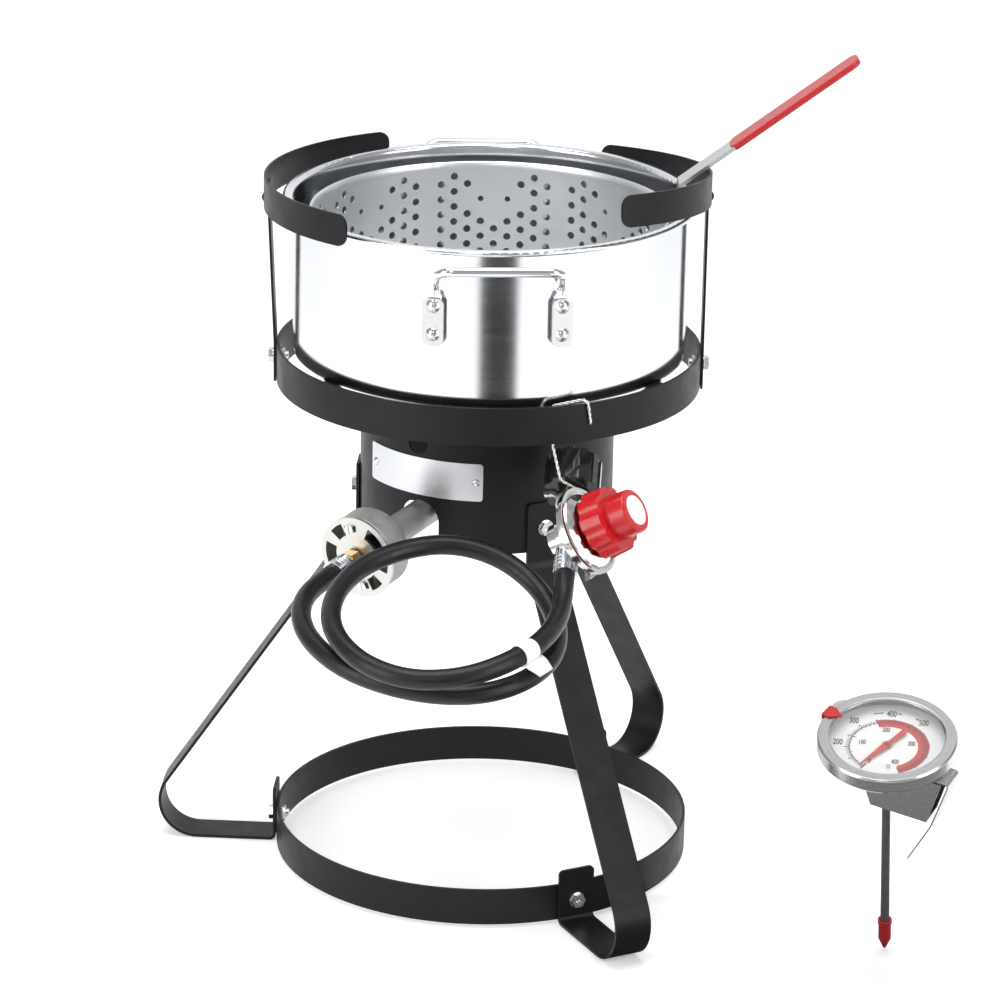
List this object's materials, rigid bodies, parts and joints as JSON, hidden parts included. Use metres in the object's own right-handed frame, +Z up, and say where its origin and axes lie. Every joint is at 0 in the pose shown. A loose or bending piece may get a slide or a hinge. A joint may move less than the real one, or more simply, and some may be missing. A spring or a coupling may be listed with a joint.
{
  "type": "turkey fryer kit",
  "caption": "Outdoor gas cooking stand with a low stock pot, a lift-out perforated basket, a hose and dial regulator, and a stem thermometer.",
  "frame": {"origin": "floor level under the centre of the pot, the burner and the top ring", "axes": "+Z up; -Y towards the hose and regulator side that faces the user; +X towards the basket's handle"},
  "size_m": [0.6353, 0.5998, 0.6753],
  "materials": {
    "powder_coat": "satin black powder coat, slightly pebbled",
    "zinc_bolts": "bright zinc plate",
    "satin_plate": "satin anodised plate",
    "cast_grey": "rough grey casting",
    "shutter_steel": "pressed bright steel",
    "brass_fitting": "machined brass",
    "crimped_steel": "crimped plated steel",
    "nickel_casting": "polished die casting",
    "red_knob": "glossy moulded plastic",
    "white_print": "blank white",
    "black_nut": "moulded ribs",
    "hose_rubber": "smooth satin rubber",
    "galvanised_wire": "twisted galvanised wire",
    "pot_aluminium": "fine horizontal brushing, polished",
    "basket_aluminium": "perforated sheet, satin",
    "chrome_wire": "polished wire",
    "satin_strap": "satin folded sheet",
    "grip_vinyl": "dipped vinyl, slightly glossy",
    "gauge_case": "spun steel",
    "gauge_bezel": "circular brushing",
    "gauge_stem": "heat-darkened steel",
    "gauge_lens": "clear flat glass",
    "gauge_dial": "matt white print",
    "gauge_red": "gloss red enamel"
  },
  "bodies": {
    "stand": {"bottom_ring": "powder_coat", "burner_bracket": "powder_coat", "burner_ferrule": "crimped_steel", "burner_head": "cast_grey", "burner_shield": "powder_coat", "burner_stud": "zinc_bolts", "foot_bolts": "zinc_bolts", "gas_hose": "hose_rubber", "guard_left": "powder_coat", "guard_right": "powder_coat", "guard_rivets": "powder_coat", "guard_upright_left": "powder_coat", "guard_upright_right": "powder_coat", "hose_tag": "white_print", "inlet_nipple": "brass_fitting", "leg_back": "powder_coat", "leg_front": "powder_coat", "leg_left": "powder_coat", "name_plate": "satin_plate", "orifice_fitting": "brass_fitting", "plate_screws": "zinc_bolts", "regulator_body": "nickel_casting", "regulator_cover": "nickel_casting", "regulator_ferrule": "crimped_steel", "shield_bolts": "zinc_bolts", "shutter_screws": "zinc_bolts", "support_bar_back": "powder_coat", "support_bar_left": "powder_coat", "support_bar_right": "powder_coat", "top_ring": "powder_coat", "upright_bolts": "zinc_bolts", "venturi": "cast_grey", "wire_hook": "galvanised_wire"},
    "pot": {"pot": "pot_aluminium", "pot_handle_front": "chrome_wire", "pot_handle_back": "chrome_wire", "handle_straps_front": "satin_strap", "handle_straps_back": "satin_strap", "pot_rivets": "zinc_bolts"},
    "basket": {"basket": "basket_aluminium", "basket_handle": "satin_strap", "handle_grip": "grip_vinyl", "basket_rivets": "zinc_bolts"},
    "knob": {"knob_collar": "red_knob", "knob_cap": "red_knob", "knob_disc": "white_print"},
    "nut": {"tank_nut": "black_nut"},
    "shutter": {"air_shutter": "shutter_steel"},
    "thermometer": {"thermometer_case": "gauge_case", "thermometer_bezel": "gauge_bezel", "thermometer_lens": "gauge_lens", "thermometer_dial": "gauge_dial", "thermometer_stem": "gauge_stem", "tip_protector": "grip_vinyl"},
    "pointer": {"dial_pointer": "gauge_red"},
    "marker": {"bezel_marker": "gauge_red"},
    "clip": {"clip_bracket": "satin_strap", "clip_leaf": "satin_strap"}
  },
  "joints": [
    {"name": "pot_lift", "type": "slide", "parent": "stand", "child": "pot", "axis": [0, 0, 1], "range_m": [0, 0.16]},
    {"name": "basket_lift", "type": "slide", "parent": "pot", "child": "basket", "axis": [0, 0, 1], "range_m": [0, 0.14]},
    {"name": "knob_turn", "type": "hinge", "parent": "stand", "child": "knob", "pos_m": [0.0773, -0.198, 0.3488], "axis": [0.7828, -0.3544, 0.5115], "range_deg": [0, 330]},
    {"name": "tank_nut_spin", "type": "hinge", "parent": "stand", "child": "nut", "pos_m": [0.06754, -0.14034, 0.37045], "axis": [0.0591, 0.8606, 0.5058], "continuous": true},
    {"name": "shutter_turn", "type": "hinge", "parent": "stand", "child": "shutter", "pos_m": [-0.05432, -0.08692, 0.319], "axis": [-0.527, -0.8434, -0.1045], "range_deg": [-7, 7]},
    {"name": "thermometer_lift", "type": "slide", "parent": "stand", "child": "thermometer", "axis": [0, 0, 1], "range_m": [0, 0.15]},
    {"name": "pointer_turn", "type": "hinge", "parent": "thermometer", "child": "pointer", "pos_m": [0.31129, -0.25431, 0.19867], "axis": [-0.0588, -0.2905, 0.9551], "range_deg": [-298, 0]},
    {"name": "marker_turn", "type": "hinge", "parent": "thermometer", "child": "marker", "pos_m": [0.31065, -0.2575, 0.20918], "axis": [-0.0588, -0.2905, 0.9551], "continuous": true},
    {"name": "clip_slide", "type": "slide", "parent": "thermometer", "child": "clip", "axis": [-0.0588, -0.2905, 0.9551], "range_m": [-0.09, 0]}
  ]
}
